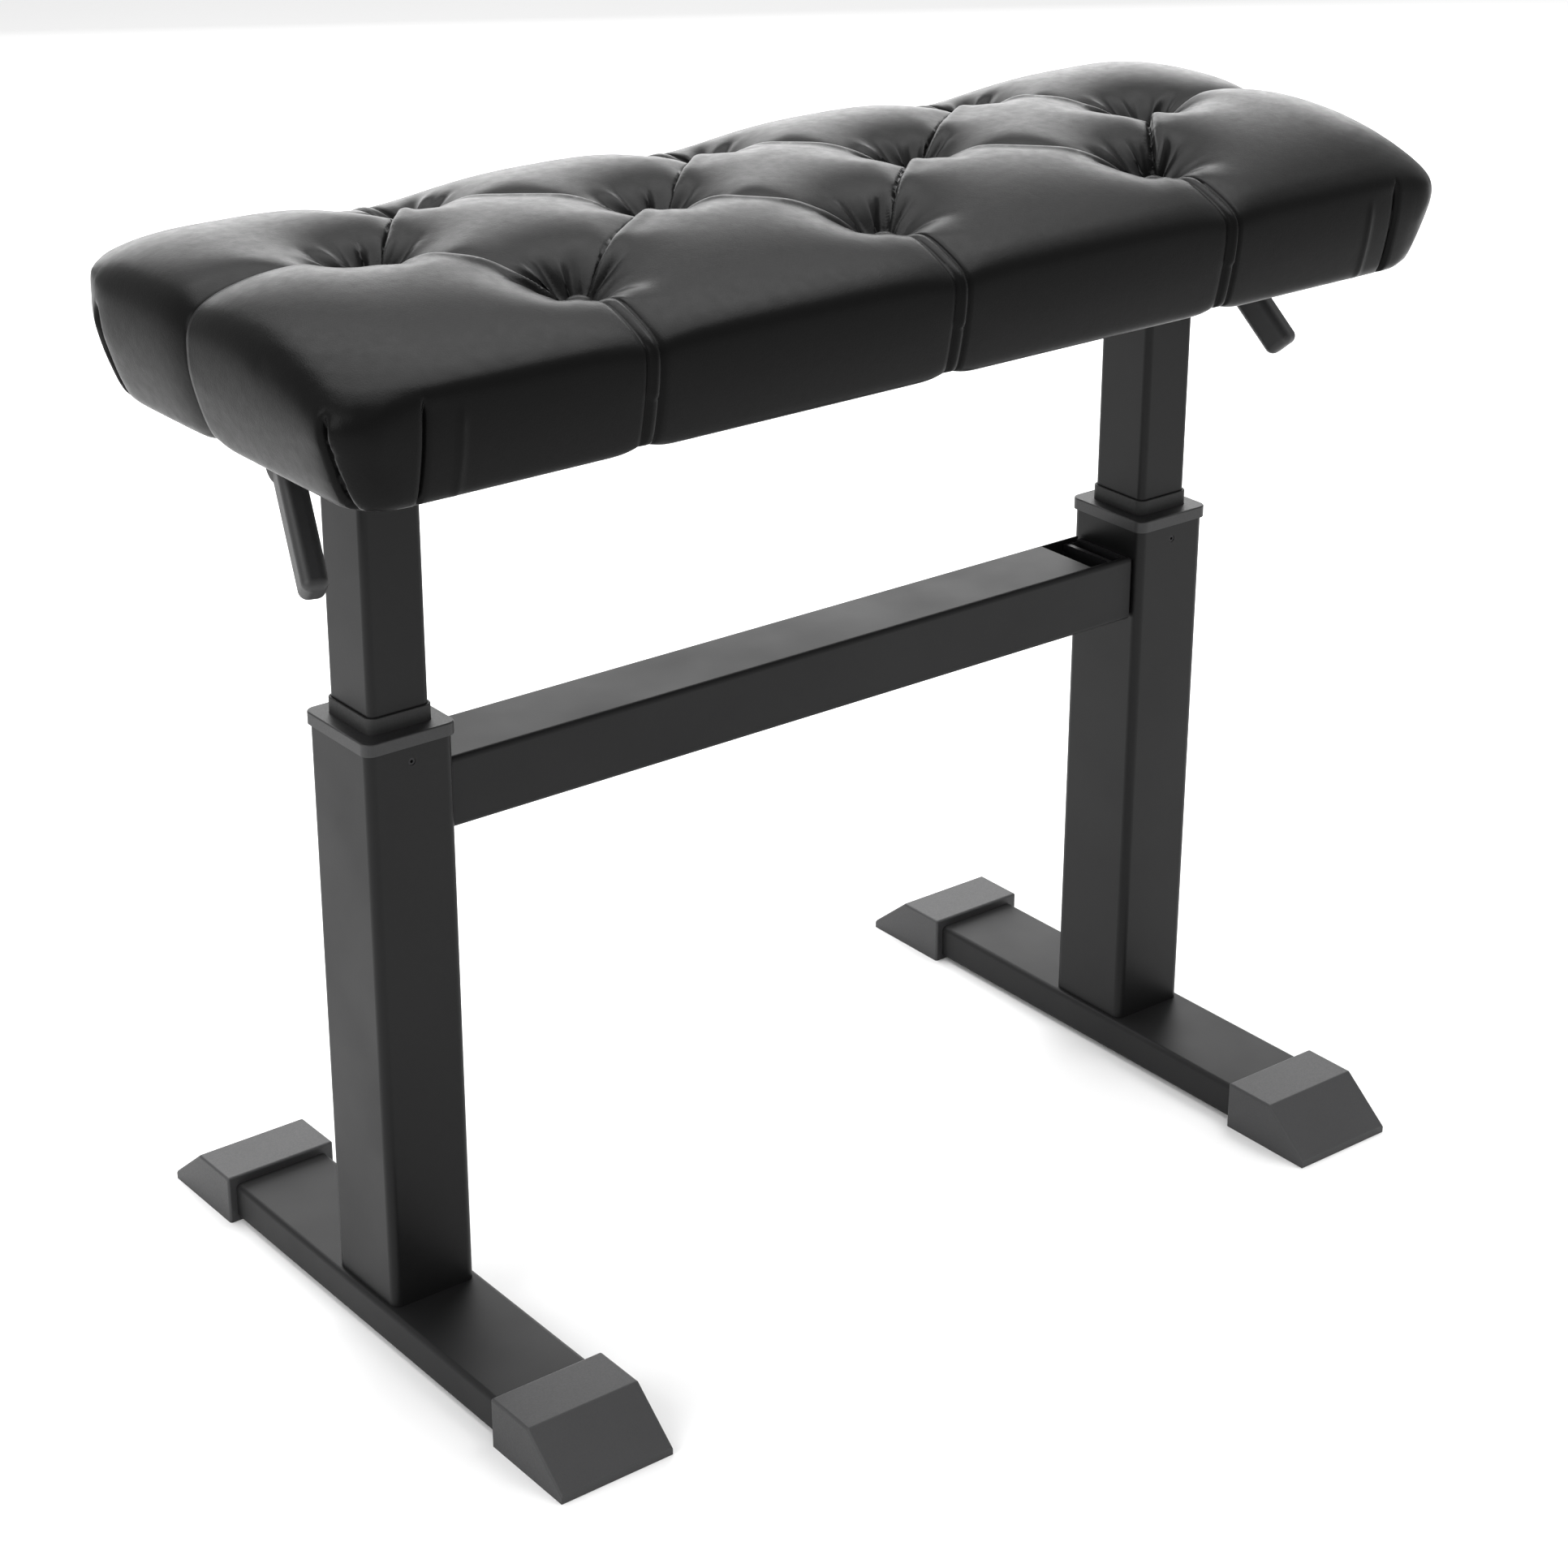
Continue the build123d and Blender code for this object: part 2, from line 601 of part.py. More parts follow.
with BuildPart() as board_inserts:
    with BuildSketch(Plane.XY.offset(seat_height)):
        with Locations(*plate_screws):
            Circle(insert_diameter / 2)
            Circle(screw_diameter / 2 + weld_clearance / 2, mode=Mode.SUBTRACT)
    extrude(amount=insert_length)
write(board_inserts, "board_inserts")

with BuildPart() as top_plate_screws:
    with BuildSketch(Plane.XY.offset(plate_bottom)):
        with Locations(*plate_screws):
            Circle(screw_diameter / 2)
    extrude(amount=screw_length)
    with BuildSketch(Plane.XY.offset(plate_bottom - screw_head_height)):
        with Locations(*plate_screws):
            Circle(screw_head / 2)
    extrude(amount=screw_head_height)
    fillet(top_plate_screws.faces().group_by(Axis.Z)[0].edges(), head_round)
    with BuildSketch(Plane.XY.offset(plate_bottom - screw_head_height)):
        with Locations(*plate_screws):
            RegularPolygon(screw_diameter / 3, 6)
    extrude(amount=head_socket_depth, mode=Mode.SUBTRACT)
write(top_plate_screws, "top_plate_screws")

with BuildPart() as seat_foam:
    cushion_block(cover_thickness, seat_height)
    with BuildSketch(Plane.XY.offset(seat_height)):
        RectangleRounded(board_length, board_depth, board_corner)
    extrude(amount=board_thickness, mode=Mode.SUBTRACT)
    with BuildSketch(Plane.XY.offset(board_top)):
        with Locations(*tufts):
            Circle(tie_diameter / 2 + tie_clearance)
    extrude(amount=cushion_height, mode=Mode.SUBTRACT)
write(seat_foam, "seat_foam")

with BuildPart() as cover_inside:
    cushion_block(cover_thickness, seat_height)

with BuildPart() as seat_cover:
    cushion_block(0, cover_bottom)
    add(cover_inside.part, mode=Mode.SUBTRACT)
    with BuildSketch(Plane.XY.offset(cover_bottom)):
        RectangleRounded(board_length - 2 * cover_flap, board_depth - 2 * cover_flap, board_corner / 2)
    extrude(amount=cover_thickness, mode=Mode.SUBTRACT)
    with BuildSketch(Plane.XY.offset(board_top)):
        with Locations(*tufts):
            Circle(tie_diameter / 2 + tie_clearance)
    extrude(amount=cushion_height, mode=Mode.SUBTRACT)
write(seat_cover, "seat_cover")

with BuildPart() as tuft_buttons:
    with BuildSketch(Plane.XY.offset(button_bottom)):
        with Locations(*tufts):
            Circle(button_diameter / 2)
    extrude(amount=button_height)
    fillet(tuft_buttons.faces().group_by(Axis.Z)[-1].edges(), button_height / 2)
write(tuft_buttons, "tuft_buttons")

with BuildPart() as tuft_ties:
    with BuildSketch(Plane.XY.offset(washer_bottom)):
        with Locations(*tufts):
            Circle(tie_diameter / 2)
    extrude(amount=button_bottom - washer_bottom)
write(tuft_ties, "tuft_ties")

with BuildPart() as tuft_washers:
    with BuildSketch(Plane.XY.offset(washer_bottom)):
        with Locations(*tufts):
            Circle(washer_diameter / 2)
            Circle(tie_diameter / 2 + weld_clearance / 2, mode=Mode.SUBTRACT)
    extrude(amount=washer_thickness)
write(tuft_washers, "tuft_washers")

with BuildPart() as dust_cover:
    with BuildSketch(Plane.XY.offset(cover_bottom - dust_cover_thickness)):
        RectangleRounded(board_length - 2 * (cover_flap - dust_cover_overlap),
                         board_depth - 2 * (cover_flap - dust_cover_overlap), board_corner / 2)
        with Locations((-column_x, 0), (column_x, 0)):
            RectangleRounded(top_plate_length + 2 * dust_cover_clearance,
                             top_plate_width + 2 * dust_cover_clearance,
                             top_plate_corner + dust_cover_clearance, mode=Mode.SUBTRACT)
    extrude(amount=dust_cover_thickness)
write(dust_cover, "dust_cover")
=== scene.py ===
"""Looks for the piano bench: tufted seat, finishes, small made pieces, studio and camera.

Laid out as a Blender add-on and run as a script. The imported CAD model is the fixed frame, in metres:
X runs along the seat, Y from front to back, Z up, with the origin on the floor under the seat.
"""
import json
import math

import bmesh
import bpy
import numpy as np
from mathutils import Matrix, Vector

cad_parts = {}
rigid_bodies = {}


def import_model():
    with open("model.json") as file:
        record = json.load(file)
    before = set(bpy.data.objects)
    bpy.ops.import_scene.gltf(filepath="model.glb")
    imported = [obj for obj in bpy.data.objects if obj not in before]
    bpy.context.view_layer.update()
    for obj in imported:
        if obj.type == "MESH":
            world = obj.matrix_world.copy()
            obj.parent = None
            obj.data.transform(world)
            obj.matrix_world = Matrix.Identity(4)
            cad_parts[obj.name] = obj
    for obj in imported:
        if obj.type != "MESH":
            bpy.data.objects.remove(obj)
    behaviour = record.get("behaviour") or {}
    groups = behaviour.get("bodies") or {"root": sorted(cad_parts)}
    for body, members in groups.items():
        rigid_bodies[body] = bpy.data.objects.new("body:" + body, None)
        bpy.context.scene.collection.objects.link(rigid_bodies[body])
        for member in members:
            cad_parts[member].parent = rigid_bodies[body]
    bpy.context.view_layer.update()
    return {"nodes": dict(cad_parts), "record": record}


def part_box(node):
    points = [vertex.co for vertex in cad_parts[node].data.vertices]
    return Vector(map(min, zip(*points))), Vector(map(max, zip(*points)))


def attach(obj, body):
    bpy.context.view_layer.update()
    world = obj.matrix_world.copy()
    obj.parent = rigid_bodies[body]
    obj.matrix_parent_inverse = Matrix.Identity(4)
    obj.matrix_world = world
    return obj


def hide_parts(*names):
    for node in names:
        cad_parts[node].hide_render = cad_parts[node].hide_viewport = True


bl_info = {
    "name": "Piano bench",
    "version": (1, 0, 0),
    "blender": (4, 5, 0),
    "location": "View3D > Sidebar > Bench",
    "description": "Tufted seat, finishes and studio for a gas-sprung piano bench",
    "category": "Object",
}

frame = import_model()
NODES = frame["nodes"]
COVER_LOW, COVER_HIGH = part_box("seat_cover")
BUTTON_LOW, BUTTON_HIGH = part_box("tuft_buttons")
FRONT_CORNER = 0.026
BACK_CORNER = 0.062
# Points above this height belong to the upper leather, and not to the underside.
UPPER_FLOOR = COVER_LOW.z + 0.03


# ---------------------------------------------------------------- settings

class BenchSeatSettings(bpy.types.PropertyGroup):
    """Sizes of the tufted seat."""

    tuft_depth: bpy.props.FloatProperty(
        name="Tuft depth", description="How far each tuft is pulled below the crown",
        default=0.030, min=0.0, unit="LENGTH")
    tuft_reach: bpy.props.FloatProperty(
        name="Tuft reach", description="How far from a tuft the leather is drawn down",
        default=0.023, min=0.001, unit="LENGTH")
    wrinkle: bpy.props.FloatProperty(
        name="Wrinkle height", description="Height of the small wrinkles round a tuft",
        default=0.0030, min=0.0, unit="LENGTH")
    crease_depth: bpy.props.FloatProperty(
        name="Crease depth", description="Depth of the narrow line of a pleat",
        default=0.0036, min=0.0, unit="LENGTH")
    crease_width: bpy.props.FloatProperty(
        name="Crease width", description="Half the width of the narrow line of a pleat",
        default=0.0010, min=0.0001, unit="LENGTH")
    tuck: bpy.props.FloatProperty(
        name="Tuck", description="How far the nearer side of a pleat stands over the farther side",
        default=0.0036, min=0.0, unit="LENGTH")
    valley_depth: bpy.props.FloatProperty(
        name="Valley depth", description="Depth of the soft valley that a pleat lies in",
        default=0.0045, min=0.0, unit="LENGTH")
    valley_reach: bpy.props.FloatProperty(
        name="Valley reach", description="How far the soft valley reaches on each side",
        default=0.015, min=0.001, unit="LENGTH")
    edge_drop: bpy.props.FloatProperty(
        name="Edge drop", description="How far the top falls from its crown to its long edges",
        default=0.028, min=0.0, unit="LENGTH")
    end_drop: bpy.props.FloatProperty(
        name="End drop", description="How far the top falls over each rounded end",
        default=0.022, min=0.0, unit="LENGTH")
    end_round: bpy.props.FloatProperty(
        name="End round", description="Length of each rounded end",
        default=0.060, min=0.001, unit="LENGTH")
    end_draw: bpy.props.FloatProperty(
        name="End draw", description="How far each end draws in towards the board",
        default=0.014, min=0.0, unit="LENGTH")
    side_draw: bpy.props.FloatProperty(
        name="Side draw", description="How far each long side draws in towards the board",
        default=0.008, min=0.0, unit="LENGTH")
    crown: bpy.props.FloatProperty(
        name="Crown", description="How far the middle of the top stands above the plain block",
        default=0.001, min=0.0, unit="LENGTH")
    front_corner: bpy.props.FloatProperty(
        name="Front corner radius", description="Radius of the two upright corners at the front",
        default=FRONT_CORNER, min=0.001, unit="LENGTH")
    back_corner: bpy.props.FloatProperty(
        name="Back corner radius", description="Radius of the two upright corners at the back",
        default=BACK_CORNER, min=0.001, unit="LENGTH")
    voxel: bpy.props.FloatProperty(
        name="Mesh size", description="Mesh size of the leather before it is subdivided",
        default=0.0052, min=0.002, unit="LENGTH")
    pressure: bpy.props.FloatProperty(
        name="Stuffing pressure", description="Pressure that swells the leather", default=4.0, min=0.0)
    swell: bpy.props.FloatProperty(
        name="Most swell", description="The furthest that a point may swell",
        default=0.008, min=0.0, unit="LENGTH")


class BenchColourSettings(bpy.types.PropertyGroup):
    """Base colours of the finishes."""

    leather: bpy.props.FloatVectorProperty(
        name="Leather", description="Colour of the seat's leather", subtype="COLOR", size=4,
        default=(0.003, 0.003, 0.003, 1))
    column_coat: bpy.props.FloatVectorProperty(
        name="Column coat", description="Colour of the columns' powder coat", subtype="COLOR", size=4,
        default=(0.006, 0.006, 0.0062, 1))
    bar_coat: bpy.props.FloatVectorProperty(
        name="Bar coat", description="Colour of the bars' powder coat", subtype="COLOR", size=4,
        default=(0.009, 0.009, 0.0093, 1))
    plastic: bpy.props.FloatVectorProperty(
        name="Moulded black", description="Colour of the collars and the handles", subtype="COLOR", size=4,
        default=(0.012, 0.012, 0.0125, 1))
    rubber: bpy.props.FloatVectorProperty(
        name="Foot cap", description="Colour of the foot caps", subtype="COLOR", size=4,
        default=(0.026, 0.026, 0.027, 1))


class BenchStageSettings(bpy.types.PropertyGroup):
    """The camera's lens, place, aim and shift."""

    lens: bpy.props.FloatProperty(
        name="Lens", description="Focal length of the camera", default=77.46, unit="CAMERA")
    place: bpy.props.FloatVectorProperty(
        name="Camera place", description="Where the camera stands", subtype="TRANSLATION", size=3,
        default=(-1.0861, -1.3845, 1.0485))
    azimuth: bpy.props.FloatProperty(
        name="Azimuth", description="Which way the camera looks, turned from +Y towards +X",
        default=math.radians(38.30), subtype="ANGLE")
    elevation: bpy.props.FloatProperty(
        name="Elevation", description="How far the camera looks down", default=math.radians(23.18),
        subtype="ANGLE")
    roll: bpy.props.FloatProperty(
        name="Roll", description="How far the camera is turned about its view", default=math.radians(0.27),
        subtype="ANGLE")
    shift: bpy.props.FloatVectorProperty(
        name="Shift", description="How far the picture is moved across and up the sensor", size=2,
        default=(-0.0101, -0.0511))


# ---------------------------------------------------------------- node helpers

def new_material(name):
    """A node material with its Principled shader, ready to be wired."""
    material = bpy.data.materials.new(name)
    material.use_nodes = True
    tree = material.node_tree
    return material, tree, tree.nodes["Principled BSDF"]


def object_coordinates(tree, scale=(1, 1, 1)):
    """Object coordinates through a Mapping node."""
    coordinates = tree.nodes.new("ShaderNodeTexCoord")
    mapping = tree.nodes.new("ShaderNodeMapping")
    mapping.inputs["Scale"].default_value = scale
    tree.links.new(coordinates.outputs["Object"], mapping.inputs["Vector"])
    return mapping.outputs["Vector"]


def noise(tree, vector, scale, detail, roughness=0.55):
    """A noise texture's value."""
    node = tree.nodes.new("ShaderNodeTexNoise")
    node.inputs["Scale"].default_value = scale
    node.inputs["Detail"].default_value = detail
    node.inputs["Roughness"].default_value = roughness
    tree.links.new(vector, node.inputs["Vector"])
    return node.outputs["Fac"]


def remap(tree, value, low, high, to_low, to_high):
    """A value moved from one range to another, and clamped."""
    node = tree.nodes.new("ShaderNodeMapRange")
    node.inputs["From Min"].default_value = low
    node.inputs["From Max"].default_value = high
    node.inputs["To Min"].default_value = to_low
    node.inputs["To Max"].default_value = to_high
    tree.links.new(value, node.inputs["Value"])
    return node.outputs["Result"]


def vary_colour(tree, shader, factor, first, second):
    """Blend two plain colours into the shader's base colour."""
    node = tree.nodes.new("ShaderNodeMix")
    node.data_type = "RGBA"
    node.inputs[6].default_value = first
    node.inputs[7].default_value = second
    tree.links.new(factor, node.inputs["Factor"])
    tree.links.new(node.outputs[2], shader.inputs["Base Color"])


def vary_roughness(tree, shader, value, low, high):
    """Let the shader's roughness follow a noise, whose values lie mostly between 0.3 and 0.7."""
    tree.links.new(remap(tree, value, 0.3, 0.7, low, high), shader.inputs["Roughness"])


def bump(tree, shader, height, strength, distance):
    """A bump on the shader's normal, chained after one that is there already."""
    node = tree.nodes.new("ShaderNodeBump")
    node.inputs["Strength"].default_value = strength
    node.inputs["Distance"].default_value = distance
    tree.links.new(height, node.inputs["Height"])
    if shader.inputs["Normal"].is_linked:
        tree.links.new(shader.inputs["Normal"].links[0].from_socket, node.inputs["Normal"])
    tree.links.new(node.outputs["Normal"], shader.inputs["Normal"])


def shade(colour, factor):
    """A colour made darker or lighter, with its alpha kept."""
    return tuple(c * factor for c in colour[:3]) + (1,)


# ---------------------------------------------------------------- finishes

def leather_finish(name, colour):
    """Soft black leather: pebble grain, fine pores, slow changes of tone and gloss."""
    material, tree, shader = new_material(name)
    vector = object_coordinates(tree)
    slow = noise(tree, vector, scale=9.0, detail=3.0)
    fine = noise(tree, vector, scale=160.0, detail=5.0)
    grain = tree.nodes.new("ShaderNodeTexVoronoi")
    grain.feature = "DISTANCE_TO_EDGE"
    grain.inputs["Scale"].default_value = 620.0
    tree.links.new(vector, grain.inputs["Vector"])
    pebbles = remap(tree, grain.outputs["Distance"], 0.0, 0.12, 0.0, 1.0)
    vary_colour(tree, shader, slow, shade(colour, 0.8), shade(colour, 1.3))
    vary_roughness(tree, shader, fine, 0.29, 0.37)
    bump(tree, shader, pebbles, strength=0.09, distance=0.0003)
    bump(tree, shader, fine, strength=0.12, distance=0.0006)
    shader.inputs["Specular IOR Level"].default_value = 0.07
    shader.inputs["Sheen Weight"].default_value = 0.01
    shader.inputs["Sheen Roughness"].default_value = 0.4
    return material


def powder_coat(name, colour, roughness):
    """Satin powder coat: fine orange peel and slight changes of gloss."""
    material, tree, shader = new_material(name)
    vector = object_coordinates(tree)
    peel = noise(tree, vector, scale=900.0, detail=2.0)
    slow = noise(tree, vector, scale=14.0, detail=3.0)
    vary_colour(tree, shader, slow, shade(colour, 0.88), shade(colour, 1.12))
    vary_roughness(tree, shader, slow, roughness - 0.04, roughness + 0.05)
    bump(tree, shader, peel, strength=0.10, distance=0.0002)
    shader.inputs["Specular IOR Level"].default_value = 0.18
    return material


def moulded_plastic(name, colour, roughness=0.5, grain=1400.0):
    """Moulded plastic with a fine spark-eroded grain."""
    material, tree, shader = new_material(name)
    vector = object_coordinates(tree)
    fine = noise(tree, vector, scale=grain, detail=3.0)
    slow = noise(tree, vector, scale=25.0, detail=2.0)
    vary_colour(tree, shader, slow, shade(colour, 0.9), shade(colour, 1.15))
    vary_roughness(tree, shader, fine, roughness - 0.05, roughness + 0.06)
    bump(tree, shader, fine, strength=0.12, distance=0.0002)
    return material


def bare_metal(name, colour, roughness):
    """Bare or plated steel with a faint uneven sheen."""
    material, tree, shader = new_material(name)
    sheen = noise(tree, object_coordinates(tree), scale=400.0, detail=3.0)
    shader.inputs["Base Color"].default_value = colour
    shader.inputs["Metallic"].default_value = 1.0
    vary_roughness(tree, shader, sheen, roughness - 0.06, roughness + 0.08)
    bump(tree, shader, sheen, strength=0.05, distance=0.0001)
    return material


def plywood_finish(name):
    """Raw birch plywood: pale plies seen at the edge, faint grain along the length."""
    material, tree, shader = new_material(name)
    grain = noise(tree, object_coordinates(tree, (1, 14, 90)), scale=12.0, detail=5.0)
    vary_colour(tree, shader, grain, (0.42, 0.29, 0.16, 1), (0.62, 0.47, 0.30, 1))
    shader.inputs["Roughness"].default_value = 0.7
    bump(tree, shader, grain, strength=0.15, distance=0.0005)
    return material


def cloth_finish(name, first, second, scale):
    """Plain cloth, twine or foam: a close speckled surface with no gloss."""
    material, tree, shader = new_material(name)
    weave = noise(tree, object_coordinates(tree), scale=scale, detail=4.0, roughness=0.7)
    vary_colour(tree, shader, weave, first, second)
    shader.inputs["Roughness"].default_value = 0.92
    bump(tree, shader, weave, strength=0.35, distance=0.0005)
    return material


# ---------------------------------------------------------------- mesh helpers

def active_only(piece):
    """Select one piece alone and make it active."""
    bpy.ops.object.select_all(action="DESELECT")
    piece.select_set(True)
    bpy.context.view_layer.objects.active = piece


def vertices_of(piece):
    """The vertices' places as an array."""
    places = np.empty(len(piece.data.vertices) * 3)
    piece.data.vertices.foreach_get("co", places)
    return places.reshape(-1, 3)


def normals_of(piece):
    """The vertices' normals as an array."""
    normals = np.empty(len(piece.data.vertices) * 3)
    piece.data.vertices.foreach_get("normal", normals)
    return normals.reshape(-1, 3)


def set_vertices(piece, places):
    """Write the vertices' places back."""
    piece.data.vertices.foreach_set("co", places.reshape(-1))
    piece.data.update()


def smooth_step(value):
    """0 below 0, 1 above 1, and smooth between."""
    value = np.clip(value, 0, 1)
    return value * value * (3 - 2 * value)


# ---------------------------------------------------------------- seat

def tuft_places():
    """Where the tufts are in plan, read from the buttons of the frame, in rows from the front."""
    button_span = 0.02
    places = vertices_of(NODES["tuft_buttons"])
    found = []
    for place in places:
        if not any(math.hypot(place[0] - x, place[1] - y) < button_span for x, y, _ in found):
            near = places[np.hypot(places[:, 0] - place[0], places[:, 1] - place[1]) < button_span]
            found.append(tuple((near.min(0) + near.max(0)) / 2))
    rows = {}
    for x, y, _ in found:
        rows.setdefault(round(y, 3), []).append((round(x, 4), round(y, 4)))
    return [sorted(rows[y]) for y in sorted(rows)]


TUFT_ROWS = tuft_places()
TUFTS = [tuft for row in TUFT_ROWS for tuft in row]
OUTER_TUFTS = TUFT_ROWS[0] + TUFT_ROWS[2]
MIDDLE_END = TUFT_ROWS[1][-1][0]


def diagonal_pleats():
    """The pleats from each tuft of the outer rows to its two neighbours in the middle row."""
    pitch = TUFT_ROWS[0][1][0] - TUFT_ROWS[0][0][0]
    pleats = []
    for x, y in OUTER_TUFTS:
        for middle_x, middle_y in TUFT_ROWS[1]:
            if abs(middle_x - x) < 0.6 * pitch:
                pleats.append(((middle_x, middle_y), (x, y)))
    return pleats


DIAGONALS = diagonal_pleats()


def along_segment(places, start, end):
    """Signed distance from a line in plan, how far along it each point is, and the segment's length."""
    start = np.array(start)
    end = np.array(end)
    length = np.linalg.norm(end - start)
    direction = (end - start) / length
    offset = places[:, :2] - start
    along = offset @ direction
    across = offset[:, 0] * -direction[1] + offset[:, 1] * direction[0]
    return across, along, length


class BENCH_OT_seat_leather(bpy.types.Operator):
    """Make the tufted leather cushion of the seat"""

    bl_idname = "bench.seat_leather"
    bl_label = "Seat leather"

    def execute(self, context):
        settings = context.scene.bench_seat
        seat = self.block(settings)
        self.draw_tufts(seat, settings)
        self.stuff(seat, settings)
        active_only(seat)
        modifier = seat.modifiers.new("finer", "SUBSURF")
        modifier.levels = 1
        modifier.render_levels = 1
        bpy.ops.object.modifier_apply(modifier=modifier.name)
        self.smooth(seat, 0.5, 6)
        self.refine(seat)
        self.wrinkle(seat, settings)
        self.press_pleats(seat, settings)
        self.fold_sides(seat)
        bpy.ops.object.shade_smooth()
        seat.data.materials.clear()
        seat.data.materials.append(leather_finish("seat leather", context.scene.bench_colour.leather))
        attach(seat, "seat")
        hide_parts("seat_cover", "seat_foam")
        return {"FINISHED"}

    def block(self, settings):
        """A closed block with a crowned top, full rounded ends and sides that draw in towards the board."""
        swell_room = 0.6
        drawn_height = 0.62
        crown_start = 0.30
        front_fullness = 2.8
        back_fullness = 4.6
        centre = (COVER_LOW + COVER_HIGH) / 2
        half = (COVER_HIGH - COVER_LOW) / 2
        half -= Vector((settings.swell, settings.swell, 0)) * swell_room
        bpy.ops.object.select_all(action="DESELECT")
        bpy.ops.mesh.primitive_cube_add(size=2, location=centre, scale=half)
        bpy.ops.object.transform_apply(location=True, rotation=True, scale=True)
        seat = bpy.context.active_object
        seat.name = "seat_leather"
        seat.data.name = "seat_leather"
        seat.data.remesh_voxel_size = settings.voxel
        bpy.ops.object.voxel_remesh()
        half = np.array(half)
        offset = vertices_of(seat) - np.array(centre)
        offset = self.round_plan(offset, half, settings)
        height = (offset[:, 2] + half[2]) / (2 * half[2])
        draw_in = np.clip(1 - height / drawn_height, 0, 1) ** 1.8
        offset[:, 0] *= 1 - settings.end_draw / half[0] * draw_in
        offset[:, 1] *= 1 - settings.side_draw / half[1] * draw_in
        upper = smooth_step((height - crown_start) / (1 - crown_start))
        across = np.clip(np.abs(offset[:, 1]) / half[1], 0, 1)
        to_end = np.clip(1 - (half[0] - np.abs(offset[:, 0])) / settings.end_round, 0, 1)
        fullness = np.where(offset[:, 1] > 0, back_fullness, front_fullness)
        offset[:, 2] += upper * (settings.crown - settings.edge_drop * across ** fullness)
        offset[:, 2] -= upper * settings.end_drop * (1 - np.sqrt(1 - 0.99 * to_end ** 2))
        set_vertices(seat, offset + np.array(centre))
        bpy.ops.object.voxel_remesh()
        self.smooth(seat, 0.6, 4)
        return seat

    def smooth(self, seat, factor, times):
        """Even out the small steps of the mesh."""
        modifier = seat.modifiers.new("smooth", "SMOOTH")
        modifier.factor = factor
        modifier.iterations = times
        bpy.ops.object.modifier_apply(modifier=modifier.name)

    def round_plan(self, offset, half, settings):
        """Round the four upright corners in plan, and soften the top and bottom edges all round."""
        top_round = 0.007
        bottom_round = 0.006
        flat = np.abs(offset[:, 2]) > half[2] - 1e-4
        radius = np.where(offset[:, 1] > 0, settings.back_corner, settings.front_corner)[:, None]
        plan = np.abs(offset[:, :2]) - (half[:2] - radius)
        beyond = np.clip(plan, 0, None)
        size = np.linalg.norm(beyond, axis=1)
        pull = np.where(size > 1e-9, beyond.max(axis=1) / np.maximum(size, 1e-9), 1)
        rounded = np.sign(offset[:, :2]) * (half[:2] - radius + beyond * pull[:, None])
        both = (plan > 0).all(axis=1)[:, None]
        offset[:, :2] = np.where(both, rounded, offset[:, :2])
        edge = np.minimum(half[0] - np.abs(offset[:, 0]), half[1] - np.abs(offset[:, 1]))
        beyond = np.clip(np.abs(offset[:, :2]) - (half[:2] - radius), 0, None)
        corner = radius[:, 0] - np.linalg.norm(beyond, axis=1)
        edge = np.clip(np.where(both[:, 0], corner, edge), 0, None)
        for sign, reach in ((1, top_round), (-1, bottom_round)):
            near = np.clip(1 - edge / reach, 0, 1)
            drop = reach * (1 - np.sqrt(1 - 0.97 * near ** 2))
            offset[:, 2] -= np.where(flat & (offset[:, 2] * sign > 0), sign * drop, 0)
        return offset

    def draw_tufts(self, seat, settings):
        """Draw the top down round each tuft, farther to its back, and lay soft valleys along the pleats."""
        lean = 0.30
        fade = 0.01
        places = vertices_of(seat)
        top = smooth_step((places[:, 2] - (COVER_HIGH.z - 0.048)) / 0.020)
        drop = np.zeros(len(places))
        for x, y in TUFTS:
            radius = np.hypot(places[:, 0] - x, places[:, 1] - y)
            sine = (places[:, 1] - y) / np.maximum(radius, 1e-6)
            reach = settings.tuft_reach * (1 + lean * sine)
            drop = np.maximum(drop, settings.tuft_depth * np.exp(-(radius / reach) ** 1.25))
        valley = np.zeros(len(places))
        for start, end in DIAGONALS:
            across, along, length = along_segment(places, start, end)
            inside = smooth_step(along / fade) * smooth_step((length - along) / fade)
            valley = np.maximum(valley, inside * np.exp(-np.abs(across) / settings.valley_reach))
        for x, y in OUTER_TUFTS:
            inside = smooth_step((places[:, 1] * np.sign(y) - abs(y)) / fade)
            valley = np.maximum(valley, inside * np.exp(-np.abs(places[:, 0] - x) / settings.valley_reach))
        inside = smooth_step((np.abs(places[:, 0]) - MIDDLE_END) / fade)
        valley = np.maximum(valley, inside * np.exp(-np.abs(places[:, 1]) / settings.valley_reach))
        places[:, 2] -= top * np.maximum(drop, settings.valley_depth * valley)
        set_vertices(seat, places)

